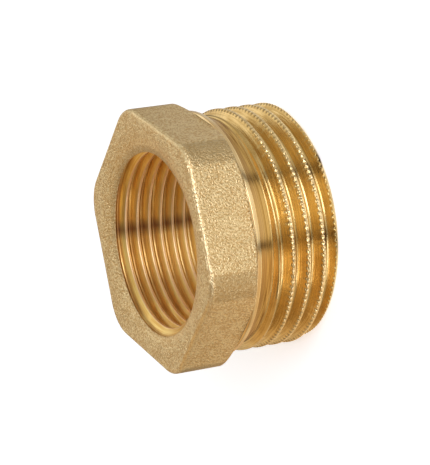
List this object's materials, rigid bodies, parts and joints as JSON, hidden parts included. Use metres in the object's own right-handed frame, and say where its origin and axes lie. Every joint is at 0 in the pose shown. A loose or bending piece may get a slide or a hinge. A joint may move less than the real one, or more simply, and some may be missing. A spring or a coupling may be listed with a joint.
{
  "type": "hex reducing bush",
  "caption": "Brass hexagon reducing bush: a hexagon head with a threaded bore, a turned collar, and a larger male pipe thread behind it.",
  "frame": {"origin": "middle of the flat ring at the male end, on the bore axis", "axes": "+Z along the bore axis towards the face of the hexagon head, +X square to a flat of the hexagon, +Y towards a corner"},
  "size_m": [0.0337, 0.0364, 0.0203],
  "materials": {
    "brass": "forged and bead-blasted on the head, bright turned on the collar and threads"
  },
  "bodies": {
    "root": {"hex_reducing_bush": "brass"}
  },
  "joints": []
}
